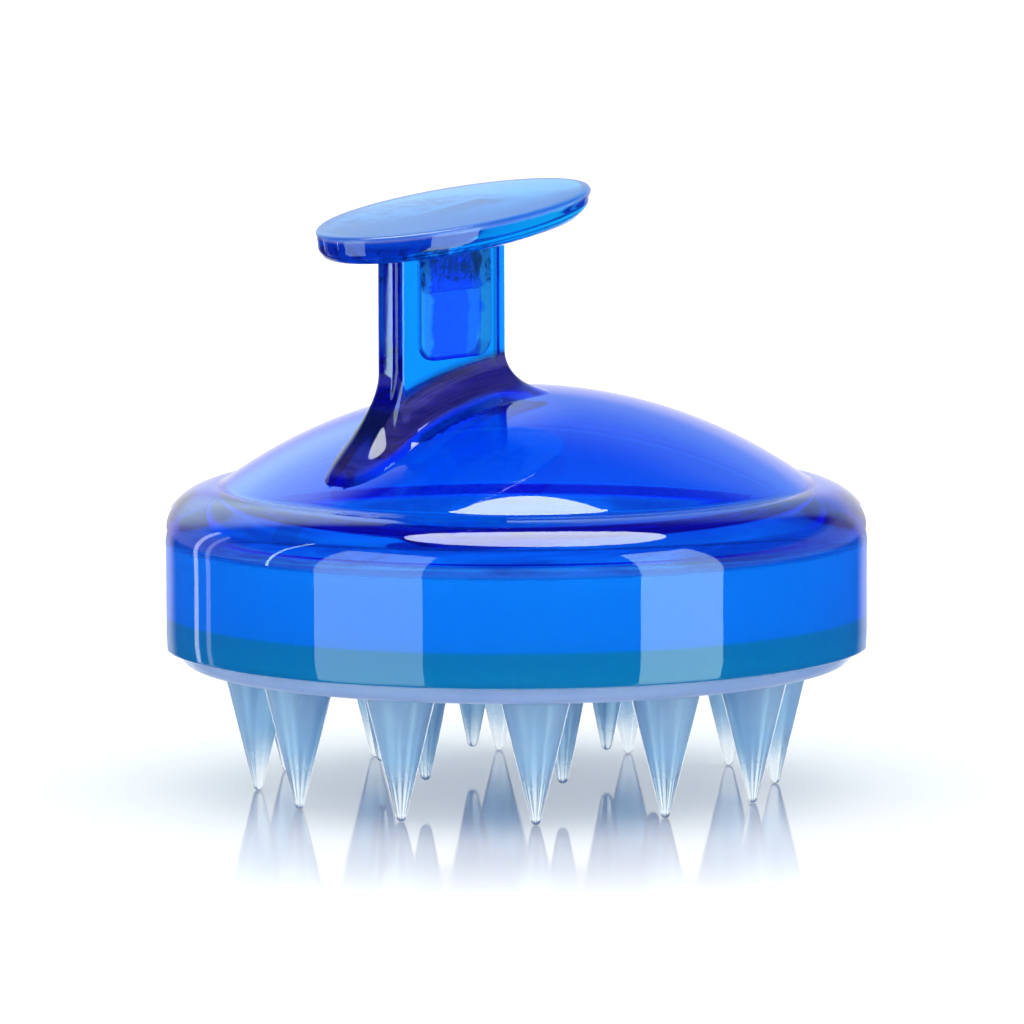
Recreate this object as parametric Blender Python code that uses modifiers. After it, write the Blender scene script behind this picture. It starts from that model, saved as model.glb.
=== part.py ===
# Scalp massager brush: a clear blue moulded housing with a finger rest on a
# blade-shaped neck, and a clear silicone pad with two rings of tapered teeth.
#
# Frame: +Z up, origin on the brush's turning axis at the plane of the outer
# tooth tips (the surface it stands on).  The finger rest's long axis lies
# along X, so the XZ plane is the plane of symmetry.
#
# All driving dimensions are in millimetres here and are scaled to metres when
# a mesh is made.

import math
import bpy
import bmesh
from mathutils import Vector, Matrix

MM = 0.001

# ---------------------------------------------------------------- dimensions
GAP = 0.3                 # clearance between touching pieces

# housing shell
R_WALL = 42.5             # outer radius of the wall
WALL_T = 1.9              # wall thickness
Z_WALL_BOTTOM = 17.5      # lower edge of the wall
Z_SHOULDER = 30.0         # where the wall starts to round over
SHOULDER_A = 7.0          # shoulder rounding, radial
SHOULDER_B = 6.6          # shoulder rounding, vertical
R_VALLEY = 35.3           # groove between shoulder and dome
DOME_Z0 = 48.2            # apex of the dome
DOME_K2 = 0.0083          # dome profile z = Z0 - K2 r^2 - K4 r^4
DOME_K4 = 8.0e-7
DOME_T = 2.4              # dome thickness
TURN_STEPS = 48

# neck
NECK_X0 = -22.9           # near end of the blade
NECK_X1 = -3.7            # far end of the blade
NECK_HW = 2.0             # half thickness of the blade
NECK_RC = 0.9             # corner rounding of the blade
FOOT_NEAR = (8.9, 8.4, 2.0)   # reach, height, heel of the long foot
FOOT_FAR = (4.7, 5.0, 0.3)
FOOT_SIDE0 = 2.6          # reach of the side fillet at the near end
FOOT_SIDE1 = 4.6          # and at the far end
FOOT_SIDE_H = 4.9

# socket in the neck and tenon on the finger rest
SOCKET_X0 = -18.5
SOCKET_X1 = -5.8
SOCKET_HW = 0.95
SOCKET_Z0 = 52.6
TENON_Z0 = 60.6

# finger rest
REST_X = -11.07           # centre of the rim ellipse
REST_Z = 70.39
REST_A = 20.7             # half length
REST_B = 12.0             # half width
REST_TILT = math.radians(5.9)   # rises towards +X
REST_CROWN = 0.5          # crown of the top face
REST_EDGE = 2.7           # mean thickness at the rim
REST_WEDGE = 0.018        # the underside rises by this much more per mm of X
REST_BELLY = 2.3          # extra thickness at the middle
REST_STEPS = 36

# silicone pad and backing plate
R_PAD = R_WALL - WALL_T - GAP
Z_PAD_TOP = 21.5
Z_PAD_FACE = 15.3         # face that carries the teeth
R_PAD_FACE = 38.3
PLATE_T = 1.2
PLATE_EDGE = 0.4          # eased upper edge

# teeth
Z_HINGE = 15.0            # flexing point at the root
OUTER_N, OUTER_R, OUTER_A0 = 12, 31.0, 15.0
OUTER_ROOT, OUTER_TIP_Z, OUTER_TIP_R = 4.2, 0.0, 0.68
INNER_N, INNER_R, INNER_A0 = 6, 16.5, 0.0
INNER_ROOT, INNER_TIP_Z, INNER_TIP_R = 3.1, 2.64, 0.75
TOOTH_STEPS = 12

# ------------------------------------------------------------------ clean up
for ob in list(bpy.data.objects):
    bpy.data.objects.remove(ob, do_unlink=True)

scene = bpy.context.scene


def new_collection(name):
    col = bpy.data.collections.new(name)
    scene.collection.children.link(col)
    return col


PARTS = new_collection("scalp_massager_brush")
CUTTERS = new_collection("cutters")


def material(name, colour, roughness, metallic=0.0, alpha=1.0):
    mat = bpy.data.materials.new(name)
    mat.use_nodes = True
    bsdf = mat.node_tree.nodes["Principled BSDF"]
    bsdf.inputs["Base Color"].default_value = (*colour, 1.0)
    bsdf.inputs["Roughness"].default_value = roughness
    bsdf.inputs["Metallic"].default_value = metallic
    bsdf.inputs["Alpha"].default_value = alpha
    return mat


MAT_HOUSING = material("clear_blue_housing", (0.010, 0.130, 0.900), 0.05)
MAT_REST = material("clear_blue_rest", (0.120, 0.350, 0.850), 0.05)
MAT_PLATE = material("clear_plate", (0.640, 0.780, 0.930), 0.12)
MAT_PAD = material("clear_silicone_pad", (0.420, 0.560, 0.850), 0.22)
MAT_TOOTH = material("clear_silicone_tooth", (0.520, 0.640, 0.880), 0.22)


def add_object(name, mesh, mat, col=PARTS):
    ob = bpy.data.objects.new(name, mesh)
    col.objects.link(ob)
    if mat is not None and len(mesh.materials) == 0:
        mesh.materials.append(mat)
    return ob


def smooth(mesh, angle=32.0):
    mesh.shade_smooth()
    mesh.set_sharp_from_angle(angle=math.radians(angle))


# ------------------------------------------------------------ turned shapes
def profile_mesh(name, points, closed=False):
    """Edge-only mesh of a profile at +X, from (radius, height) in mm."""
    mesh = bpy.data.meshes.new(name)
    verts = [(r * MM, 0.0, z * MM) for r, z in points]
    edges = [(i, i + 1) for i in range(len(points) - 1)]
    if closed:
        edges.append((len(points) - 1, 0))
    mesh.from_pydata(verts, edges, [])
    return mesh


def turn(ob, steps):
    mod = ob.modifiers.new("turn", "SCREW")
    mod.axis = 'Z'
    mod.steps = steps
    mod.render_steps = steps
    mod.use_merge_vertices = True
    mod.merge_threshold = 0.000005
    mod.use_normal_calculate = True
    mod.use_smooth_shade = True
    return mod


def bake(ob):
    """Replace an object's mesh by its evaluated mesh."""
    deps = bpy.context.evaluated_depsgraph_get()
    mesh = bpy.data.meshes.new_from_object(ob.evaluated_get(deps))
    ob.modifiers.clear()
    old = ob.data
    ob.data = mesh
    bpy.data.meshes.remove(old)
    bm = bmesh.new()
    bm.from_mesh(mesh)
    bmesh.ops.remove_doubles(bm, verts=bm.verts, dist=0.000005)
    bmesh.ops.recalc_face_normals(bm, faces=bm.faces)
    bm.to_mesh(mesh)
    bm.free()
    return ob


def boolean(ob, other, operation):
    mod = ob.modifiers.new(operation.lower(), "BOOLEAN")
    mod.operation = operation
    mod.solver = 'EXACT'
    mod.object = other
    return mod


def as_cutter(ob):
    ob.hide_render = True
    ob.display_type = 'WIRE'
    return ob


# ------------------------------------------------------------ housing shell
def dome_z(r):
    return DOME_Z0 - DOME_K2 * r * r - DOME_K4 * r ** 4


def housing_profile():
    pts = []
    n = 11
    for i in range(n + 1):                      # outer dome, apex to groove
        r = R_VALLEY * (i / n) ** 0.9
        pts.append((r, dome_z(r)))
    cx = R_WALL - SHOULDER_A
    for i in range(7):                          # shoulder, ridge to wall
        a = math.radians(90.0 - 90.0 * i / 6)
        pts.append((cx + SHOULDER_A * math.cos(a),
                    Z_SHOULDER + SHOULDER_B * math.sin(a)))
    pts.append((R_WALL, Z_WALL_BOTTOM))
    ri = R_WALL - WALL_T
    pts.append((ri, Z_WALL_BOTTOM))
    ia, ib = SHOULDER_A - 1.7, SHOULDER_B - 1.8
    icx = ri - ia
    for i in range(5):                          # inner shoulder
        a = math.radians(90.0 * i / 4)
        pts.append((icx + ia * math.cos(a),
                    Z_SHOULDER - 0.4 + ib * math.sin(a)))
    m = 8
    r_top = icx - 1.0
    for i in range(m + 1):                      # inner dome back to the axis
        r = r_top * (1.0 - i / m)
        pts.append((r, dome_z(r) - DOME_T))
    return pts


# --------------------------------------------------------------- finger rest
def rest_profile():
    """Unit-radius profile; height is measured from the rim plane in mm."""
    pts = []
    for i in range(6):                          # crowned top
        p = 0.965 * i / 5
        pts.append((p, REST_CROWN * (1.0 - (p / 0.965) ** 2)))
    pts.append((0.990, -0.16))
    pts.append((1.0, -0.50))
    low = -(REST_EDGE + REST_BELLY * (1.0 - 0.9 ** 2))
    for i in range(5):                          # rounded lower edge
        a = math.radians(90.0 * i / 4)
        pts.append((0.9 + 0.1 * math.cos(a), -1.5 + (low + 1.5) * math.sin(a)))
    for i in range(1, 7):                       # belly of the underside
        p = 0.9 * (1.0 - i / 6)
        pts.append((p, -(REST_EDGE + REST_BELLY * (1.0 - p * p))))
    return pts


def rest_under(x, y):
    """Height of the finger rest's underside over a point of the plan."""
    c, s = math.cos(REST_TILT), math.sin(REST_TILT)
    u = (x - REST_X) / c
    for _ in range(6):
        rho2 = min(0.81, (u / REST_A) ** 2 + (y / REST_B) ** 2)
        w = -(REST_EDGE + REST_BELLY * (1.0 - rho2)) + REST_WEDGE * u
        u = (x - REST_X + w * s) / c
    return REST_Z + u * s + w * c


# ---------------------------------------------------------------------- neck
def rounded_rect(x0, x1, hw, rc, n_side, n_end, n_corner):
    """Outline points with outward normals, counter-clockwise from above."""
    out = []

    def corner(cx, cy, a0):
        for i in range(n_corner + 1):
            a = math.radians(a0 + 90.0 * i / n_corner)
            out.append((cx + rc * math.cos(a), cy + rc * math.sin(a),
                        math.cos(a), math.sin(a)))

    def straight(p, q, nx, ny, n):
        for i in range(1, n):
            t = i / n
            out.append((p[0] + (q[0] - p[0]) * t, p[1] + (q[1] - p[1]) * t,
                        nx, ny))

    corner(x1 - rc, hw - rc, 0.0)
    straight((x1 - rc, hw), (x0 + rc, hw), 0.0, 1.0, n_side)
    corner(x0 + rc, hw - rc, 90.0)
    straight((x0, hw - rc), (x0, -hw + rc), -1.0, 0.0, n_end)
    corner(x0 + rc, -hw + rc, 180.0)
    straight((x0 + rc, -hw), (x1 - rc, -hw), 0.0, -1.0, n_side)
    corner(x1 - rc, -hw + rc, 270.0)
    straight((x1, -hw + rc), (x1, hw - rc), 1.0, 0.0, n_end)
    return out


def foot_shape(x, nx, ny):
    """Reach (dx, dy), height and heel of the foot's fillet at an outline
    point with outward normal (nx, ny)."""
    t = (x - NECK_X0) / (NECK_X1 - NECK_X0)
    side = FOOT_SIDE0 + (FOOT_SIDE1 - FOOT_SIDE0) * t
    dy = side * ny
    if nx < 0.0:
        w = abs(nx) ** 0.6
        reach, high, heel = FOOT_NEAR
        dx = -reach * w
    else:
        w = abs(nx) ** 0.5
        reach, high, heel = FOOT_FAR
        dx = reach * w
    h = FOOT_SIDE_H + (high - FOOT_SIDE_H) * w
    k = 0.3 + (heel - 0.3) * w
    return dx, dy, h, k


def neck_mesh():
    outline = rounded_rect(NECK_X0, NECK_X1, NECK_HW, NECK_RC, 7, 2, 3)
    rings = []
    mid = 0.5 * (NECK_X0 + NECK_X1)

    def inward(f, height):
        ring = []
        for x, y, nx, ny in outline:
            px = mid + (x - mid) * f
            py = y * f
            ring.append((px, py, height(px, py)))
        return ring

    def top(px, py):
        return rest_under(px, py) - GAP

    for f in (0.35, 0.7):                       # top face, centre outwards
        rings.append(inward(f, top))
    rings.append([(x, y, top(x, y)) for x, y, _, _ in outline])
    levels = 7
    for i in range(levels + 1):                 # fillet down to the dome
        a = math.radians(90.0 * i / levels)
        u = 1.0 - math.cos(a)
        ring = []
        for x, y, nx, ny in outline:
            dx, dy, h, k = foot_shape(x, nx, ny)
            px, py = x + u * dx, y + u * dy
            rise = (h - k) * (1.0 - math.sin(a)) + k * (1.0 - u ** 5)
            ring.append((px, py, dome_z(math.hypot(px, py)) + rise))
        rings.append(ring)
    # the foot carries on into the dome's wall, so that the two are one piece
    foot = rings[-1]
    for f, sink in ((1.0, 0.7), (0.8, 1.1), (0.5, 1.1), (0.2, 1.1)):
        ring = []
        for x, y, _ in foot:
            px = mid + (x - mid) * f
            py = y * f
            ring.append((px, py, dome_z(math.hypot(px, py)) - sink))
        rings.append(ring)

    bm = bmesh.new()
    vrings = [[bm.verts.new((x * MM, y * MM, z * MM)) for x, y, z in ring]
              for ring in rings]
    n = len(outline)
    for a, b in zip(vrings[:-1], vrings[1:]):
        for i in range(n):
            j = (i + 1) % n
            bm.faces.new((a[i], b[i], b[j], a[j]))
    bm.faces.new(vrings[0])
    bm.faces.new(list(reversed(vrings[-1])))
    bmesh.ops.recalc_face_normals(bm, faces=bm.faces)
    mesh = bpy.data.meshes.new("neck")
    bm.to_mesh(mesh)
    bm.free()
    return mesh


def rounded_block(name, x0, x1, hw, z0, z1, radius, segments, col, mat):
    """A block with rounded lower corners in the XZ plane, as a flat outline
    extruded along Y."""
    bm = bmesh.new()
    pts = [(x0, z1)]
    for i in range(segments + 1):
        a = math.radians(180.0 + 90.0 * i / segments)
        pts.append((x0 + radius + radius * math.cos(a),
                    z0 + radius + radius * math.sin(a)))
    for i in range(segments + 1):
        a = math.radians(270.0 + 90.0 * i / segments)
        pts.append((x1 - radius + radius * math.cos(a),
                    z0 + radius + radius * math.sin(a)))
    pts.append((x1, z1))
    front = bm.faces.new([bm.verts.new((x * MM, -hw * MM, z * MM))
                          for x, z in pts])
    res = bmesh.ops.extrude_face_region(bm, geom=[front])
    moved = [v for v in res["geom"] if isinstance(v, bmesh.types.BMVert)]
    bmesh.ops.translate(bm, verts=moved, vec=(0.0, 2.0 * hw * MM, 0.0))
    bmesh.ops.recalc_face_normals(bm, faces=bm.faces)
    mesh = bpy.data.meshes.new(name)
    bm.to_mesh(mesh)
    bm.free()
    return add_object(name, mesh, mat, col)


# ------------------------------------------------------------- build: housing
housing = add_object("housing_shell", profile_mesh("housing_shell",
                                                   housing_profile()),
                     MAT_HOUSING)
turn(housing, TURN_STEPS)
bake(housing)

neck = as_cutter(add_object("neck_loft", neck_mesh(), MAT_HOUSING, CUTTERS))
socket = as_cutter(rounded_block("socket_cut", SOCKET_X0, SOCKET_X1,
                                 SOCKET_HW, SOCKET_Z0, 72.0, 2.4, 4,
                                 CUTTERS, MAT_HOUSING))
boolean(housing, neck, 'UNION')
boolean(housing, socket, 'DIFFERENCE')
bake(housing)
smooth(housing.data)

# --------------------------------------------------------- build: finger rest
rest = add_object("finger_rest",
                  profile_mesh("finger_rest",
                               [(p / MM, z) for p, z in rest_profile()]),
                  MAT_REST)
turn(rest, REST_STEPS)
bake(rest)
rest.data.transform(Matrix.Diagonal((REST_A * MM, REST_B * MM, 1.0, 1.0)))
for v in rest.data.vertices:                # wedge: only the underside leans
    part = min(1.0, max(0.0, (-0.5 - v.co.z / MM) / 1.0))
    v.co.z += REST_WEDGE * v.co.x * part
rest.location = (REST_X * MM, 0.0, REST_Z * MM)
rest.rotation_euler = (0.0, -REST_TILT, 0.0)
bpy.context.view_layer.update()

tenon = as_cutter(rounded_block("tenon_add", SOCKET_X0 + GAP, SOCKET_X1 - GAP,
                                SOCKET_HW - GAP, TENON_Z0, 68.6, 1.2, 3,
                                CUTTERS, MAT_REST))
boolean(rest, tenon, 'UNION')
bake(rest)
smooth(rest.data)

# ------------------------------------------------------- build: backing plate
z_p0 = Z_PAD_TOP + GAP
z_p1 = z_p0 + PLATE_T
plate_pts = [
    (0.0, z_p1), (R_PAD - PLATE_EDGE, z_p1), (R_PAD, z_p1 - PLATE_EDGE),
    (R_PAD, z_p0), (0.0, z_p0)]
plate = add_object("backing_plate", profile_mesh("backing_plate", plate_pts),
                   MAT_PLATE)
turn(plate, TURN_STEPS)
bake(plate)
smooth(plate.data)

# -------------------------------------------------------- build: silicone pad
pad_pts = [(0.0, Z_PAD_TOP), (R_PAD - 0.4, Z_PAD_TOP),
           (R_PAD, Z_PAD_TOP - 0.4)]
for i in range(6):
    a = math.radians(90.0 * i / 5)
    pad_pts.append((R_PAD_FACE + (R_PAD - R_PAD_FACE) * math.cos(a) ** 0.8,
                    Z_WALL_BOTTOM + (Z_PAD_FACE - Z_WALL_BOTTOM)
                    * math.sin(a) ** 0.8))
pad_pts.append((0.0, Z_PAD_FACE))
pad = add_object("silicone_pad", profile_mesh("silicone_pad", pad_pts), MAT_PAD)
turn(pad, TURN_STEPS)
bake(pad)

bm = bmesh.new()
for count, radius, a0, root in ((OUTER_N, OUTER_R, OUTER_A0, OUTER_ROOT),
                                (INNER_N, INNER_R, INNER_A0, INNER_ROOT)):
    for k in range(count):
        a = math.radians(a0 + 360.0 * k / count)
        where = Matrix.Translation((radius * math.cos(a) * MM,
                                    radius * math.sin(a) * MM,
                                    Z_HINGE * MM)) @ Matrix.Rotation(a, 4, 'Z')
        bmesh.ops.create_uvsphere(bm, u_segments=14, v_segments=8,
                                  radius=(root + GAP) * MM, matrix=where)
mesh = bpy.data.meshes.new("root_recesses")
bm.to_mesh(mesh)
bm.free()
recesses = as_cutter(add_object("root_recesses", mesh, MAT_PAD, CUTTERS))
boolean(pad, recesses, 'DIFFERENCE')
bake(pad)
smooth(pad.data)


# --------------------------------------------------------------- build: teeth
def tooth_profile(root, tip_z, tip_r):
    """Ball root at the hinge, straight cone, small rounded tip with a flat.
    Heights are measured from the hinge point."""
    tip = tip_z - Z_HINGE
    slope = math.atan2(root - tip_r, -tip - 0.5)
    pts = []
    for i in range(6):                          # ball, pole to cone
        a = math.radians(90.0) - (math.radians(90.0) + slope) * i / 5
        pts.append((root * math.cos(a), root * math.sin(a)))
    r0, z0 = pts[-1]
    pts.append((0.5 * (r0 + tip_r), 0.5 * (z0 + tip + 0.55)))
    pts.append((tip_r, tip + 0.55))
    pts.append((tip_r * 0.90, tip + 0.20))
    pts.append((tip_r * 0.62, tip))
    pts.append((0.0, tip))
    return pts


def tooth_mesh(name, root, tip_z, tip_r):
    ob = add_object(name, profile_mesh(name, tooth_profile(root, tip_z, tip_r)),
                    MAT_TOOTH)
    turn(ob, TOOTH_STEPS)
    bake(ob)
    smooth(ob.data)
    mesh = ob.data
    bpy.data.objects.remove(ob)
    return mesh


def place_teeth(prefix, mesh, count, radius, a0):
    for k in range(count):
        a = math.radians(a0 + 360.0 * k / count)
        ob = add_object("%s_%02d" % (prefix, k + 1), mesh, MAT_TOOTH)
        ob.location = (radius * math.cos(a) * MM, radius * math.sin(a) * MM,
                       Z_HINGE * MM)
        ob.rotation_euler = (0.0, 0.0, a)


outer = tooth_mesh("outer_tooth", OUTER_ROOT, OUTER_TIP_Z, OUTER_TIP_R)
inner = tooth_mesh("inner_tooth", INNER_ROOT, INNER_TIP_Z, INNER_TIP_R)
place_teeth("outer_tooth", outer, OUTER_N, OUTER_R, OUTER_A0)
place_teeth("inner_tooth", inner, INNER_N, INNER_R, INNER_A0)

bpy.context.view_layer.update()
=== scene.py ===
import math
import bpy
import bmesh
from mathutils import Vector, Matrix, noise


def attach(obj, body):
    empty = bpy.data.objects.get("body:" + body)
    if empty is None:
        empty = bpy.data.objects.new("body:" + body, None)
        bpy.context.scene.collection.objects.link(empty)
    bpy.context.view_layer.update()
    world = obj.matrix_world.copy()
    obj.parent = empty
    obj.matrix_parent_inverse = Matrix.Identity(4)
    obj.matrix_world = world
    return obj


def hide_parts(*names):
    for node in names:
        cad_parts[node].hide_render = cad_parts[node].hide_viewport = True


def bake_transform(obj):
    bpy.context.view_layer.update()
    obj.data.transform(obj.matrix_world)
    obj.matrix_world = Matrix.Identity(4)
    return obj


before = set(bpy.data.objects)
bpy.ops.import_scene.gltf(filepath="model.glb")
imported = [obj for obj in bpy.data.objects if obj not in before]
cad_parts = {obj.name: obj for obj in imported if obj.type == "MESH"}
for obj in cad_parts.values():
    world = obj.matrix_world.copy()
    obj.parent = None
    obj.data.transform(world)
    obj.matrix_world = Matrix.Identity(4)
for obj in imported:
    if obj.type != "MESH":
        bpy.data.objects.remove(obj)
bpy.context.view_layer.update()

MM = 0.001
GAP = 0.3

# ------------------------------------------------------------- dimensions, mm
R_WALL, WALL_T = 42.5, 1.9
Z_WALL_BOTTOM, Z_SHOULDER = 17.5, 30.0
SHOULDER_A, SHOULDER_B = 7.0, 6.6
R_VALLEY = 35.3
DOME_Z0, DOME_K2, DOME_K4, DOME_T = 48.2, 0.0083, 8.0e-7, 3.0

NECK_X0, NECK_X1, NECK_HW, NECK_RC = -22.9, -3.7, 2.0, 0.9
FOOT_NEAR = (8.9, 8.4, 2.0)
FOOT_FAR = (4.7, 5.0, 0.3)
FOOT_SIDE0, FOOT_SIDE1, FOOT_SIDE_H = 2.6, 4.6, 4.9

SOCKET_X0, SOCKET_X1, SOCKET_HW, SOCKET_Z0 = -18.5, -5.8, 0.95, 52.6
TENON_Z0 = 60.6

REST_X, REST_Z, REST_A, REST_B = -11.07, 70.39, 20.7, 12.0
REST_TILT = math.radians(5.9)
REST_CROWN, REST_EDGE, REST_WEDGE, REST_BELLY = 0.5, 2.7, 0.018, 2.3
SEAT_GAP = 0.06           # hairline between the neck's top and the rest

R_PAD = R_WALL - WALL_T - GAP
Z_PAD_TOP, Z_PAD_FACE, R_PAD_FACE = 21.5, 15.3, 38.3
PLATE_T = 1.2

Z_HINGE = 15.0
OUTER = (12, 31.0, 15.0, 4.2, 0.0, 0.68)     # count, ring radius, angle, root, tip z, tip r
INNER = (6, 16.5, 0.0, 3.1, 2.64, 0.75)

# the photograph's side: unit vectors towards the camera and to its right
PHI = math.radians(49.0)
TOWARD = Vector((-math.sin(PHI), -math.cos(PHI), 0.0))
RIGHT = Vector((math.cos(PHI), -math.sin(PHI), 0.0))

COLLECTION = bpy.data.collections.new("looks")
bpy.context.scene.collection.children.link(COLLECTION)


# --------------------------------------------------------------- mesh helpers
def add_object(name, mesh):
    ob = bpy.data.objects.new(name, mesh)
    COLLECTION.objects.link(ob)
    return ob


def finish_mesh(bm, name):
    bmesh.ops.recalc_face_normals(bm, faces=bm.faces)
    mesh = bpy.data.meshes.new(name)
    bm.to_mesh(mesh)
    bm.free()
    return mesh


def smooth(mesh, angle=30.0):
    mesh.shade_smooth()
    mesh.set_sharp_from_angle(angle=math.radians(angle))


def lathe(name, profile, steps, shift=None):
    """Closed solid turned from (radius, height) points that start and end on
    the axis, or from a closed outline that stays off it."""
    bm = bmesh.new()
    rings = []
    for r, z in profile:
        if r < 1e-6:
            rings.append([bm.verts.new((0.0, 0.0, z * MM))])
        else:
            rings.append([bm.verts.new((r * MM * math.cos(2 * math.pi * i / steps),
                                        r * MM * math.sin(2 * math.pi * i / steps),
                                        z * MM)) for i in range(steps)])
    pairs = list(zip(rings[:-1], rings[1:]))
    if profile[0][0] > 1e-6 and profile[-1][0] > 1e-6:
        pairs.append((rings[-1], rings[0]))
    for a, b in pairs:
        for i in range(steps):
            j = (i + 1) % steps
            if len(a) == 1:
                bm.faces.new((a[0], b[i], b[j]))
            elif len(b) == 1:
                bm.faces.new((a[i], b[0], a[j]))
            else:
                bm.faces.new((a[i], b[i], b[j], a[j]))
    return finish_mesh(bm, name)


def apply_modifiers(ob):
    deps = bpy.context.evaluated_depsgraph_get()
    mesh = bpy.data.meshes.new_from_object(ob.evaluated_get(deps))
    ob.modifiers.clear()
    old = ob.data
    ob.data = mesh
    bpy.data.meshes.remove(old)
    bm = bmesh.new()
    bm.from_mesh(mesh)
    bmesh.ops.remove_doubles(bm, verts=bm.verts, dist=0.000004)
    bmesh.ops.dissolve_degenerate(bm, edges=bm.edges, dist=0.000002)
    bm.to_mesh(mesh)
    bm.free()


def boolean(ob, mesh, operation):
    other = add_object("tool", mesh)
    mod = ob.modifiers.new("b", "BOOLEAN")
    mod.operation, mod.solver, mod.object = operation, 'EXACT', other
    bpy.context.view_layer.update()
    apply_modifiers(ob)
    bpy.data.objects.remove(other, do_unlink=True)


# -------------------------------------------------------------------- housing
def dome_z(r):
    return DOME_Z0 - DOME_K2 * r * r - DOME_K4 * r ** 4


def housing_profile():
    pts = []
    n = 46
    r0, r1 = R_VALLEY - 1.0, R_VALLEY + 0.4
    for i in range(n + 1):
        r = r0 * (i / n) ** 0.9
        pts.append((r, dome_z(r)))
    cx = R_WALL - SHOULDER_A
    z_top = Z_SHOULDER + SHOULDER_B
    g0 = -(2.0 * DOME_K2 * r0 + 4.0 * DOME_K4 * r0 ** 3) * (r1 - r0)
    for i in range(1, 11):                      # hollow between dome and rim
        t = i / 10
        h00, h10 = 2 * t ** 3 - 3 * t ** 2 + 1, t ** 3 - 2 * t ** 2 + t
        h01, h11 = -2 * t ** 3 + 3 * t ** 2, t ** 3 - t ** 2
        pts.append((r0 + (r1 - r0) * t,
                    h00 * dome_z(r0) + h10 * g0 + h01 * (z_top - 0.01) - h11 * 0.05))
    for i in range(1, 23):
        a = math.radians(90.0 - 90.0 * i / 22)
        pts.append((cx + SHOULDER_A * math.cos(a),
                    Z_SHOULDER + SHOULDER_B * math.sin(a)))
    for i in range(1, 7):
        z = Z_SHOULDER - (Z_SHOULDER - Z_WALL_BOTTOM - 0.35) * i / 6
        pts.append((R_WALL, z))
    for i in range(1, 5):                       # eased outer lower edge
        a = math.radians(90.0 * i / 4)
        pts.append((R_WALL - 0.35 + 0.35 * math.cos(a),
                    Z_WALL_BOTTOM + 0.35 - 0.35 * math.sin(a)))
    ri = R_WALL - WALL_T
    pts.append((ri + 0.2, Z_WALL_BOTTOM))
    pts.append((ri, Z_WALL_BOTTOM + 0.2))
    for i in range(1, 5):
        pts.append((ri, Z_WALL_BOTTOM + 0.2
                    + (Z_SHOULDER - 0.6 - Z_WALL_BOTTOM) * i / 5))
    ia, ib = SHOULDER_A - 1.5, SHOULDER_B - 2.4
    icx = ri - ia
    for i in range(17):
        a = math.radians(90.0 * i / 16)
        pts.append((icx + ia * math.cos(a), Z_SHOULDER - 0.4 + ib * math.sin(a)))
    m = 34
    r_top = icx - 1.0
    for i in range(m + 1):
        r = r_top * (1.0 - i / m)
        pts.append((r, dome_z(r) - DOME_T))
    return pts


def rest_under(x, y):
    c, s = math.cos(REST_TILT), math.sin(REST_TILT)
    u = (x - REST_X) / c
    for _ in range(6):
        rho2 = min(0.81, (u / REST_A) ** 2 + (y / REST_B) ** 2)
        w = -(REST_EDGE + REST_BELLY * (1.0 - rho2)) + REST_WEDGE * u
        u = (x - REST_X + w * s) / c
    return REST_Z + u * s + w * c


def rounded_rect(x0, x1, hw, rc, n_side, n_end, n_corner):
    out = []

    def corner(cx, cy, a0):
        for i in range(n_corner + 1):
            a = math.radians(a0 + 90.0 * i / n_corner)
            out.append((cx + rc * math.cos(a), cy + rc * math.sin(a),
                        math.cos(a), math.sin(a)))

    def straight(p, q, nx, ny, n):
        for i in range(1, n):
            t = i / n
            out.append((p[0] + (q[0] - p[0]) * t, p[1] + (q[1] - p[1]) * t,
                        nx, ny))

    corner(x1 - rc, hw - rc, 0.0)
    straight((x1 - rc, hw), (x0 + rc, hw), 0.0, 1.0, n_side)
    corner(x0 + rc, hw - rc, 90.0)
    straight((x0, hw - rc), (x0, -hw + rc), -1.0, 0.0, n_end)
    corner(x0 + rc, -hw + rc, 180.0)
    straight((x0 + rc, -hw), (x1 - rc, -hw), 0.0, -1.0, n_side)
    corner(x1 - rc, -hw + rc, 270.0)
    straight((x1, -hw + rc), (x1, hw - rc), 1.0, 0.0, n_end)
    return out


def foot_shape(x, nx, ny):
    t = (x - NECK_X0) / (NECK_X1 - NECK_X0)
    side = FOOT_SIDE0 + (FOOT_SIDE1 - FOOT_SIDE0) * t
    dy = side * ny
    if nx < 0.0:
        w = abs(nx) ** 0.6
        reach, high, heel = FOOT_NEAR
        dx = -reach * w
    else:
        w = abs(nx) ** 0.5
        reach, high, heel = FOOT_FAR
        dx = reach * w
    h = FOOT_SIDE_H + (high - FOOT_SIDE_H) * w
    k = 0.3 + (heel - 0.3) * w
    return dx, dy, h, k


def loft(name, rings):
    bm = bmesh.new()
    vr = [[bm.verts.new((x * MM, y * MM, z * MM)) for x, y, z in ring]
          for ring in rings]
    n = len(vr[0])
    for a, b in zip(vr[:-1], vr[1:]):
        for i in range(n):
            j = (i + 1) % n
            bm.faces.new((a[i], b[i], b[j], a[j]))
    bm.faces.new(vr[0])
    bm.faces.new(list(reversed(vr[-1])))
    return finish_mesh(bm, name)


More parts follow.
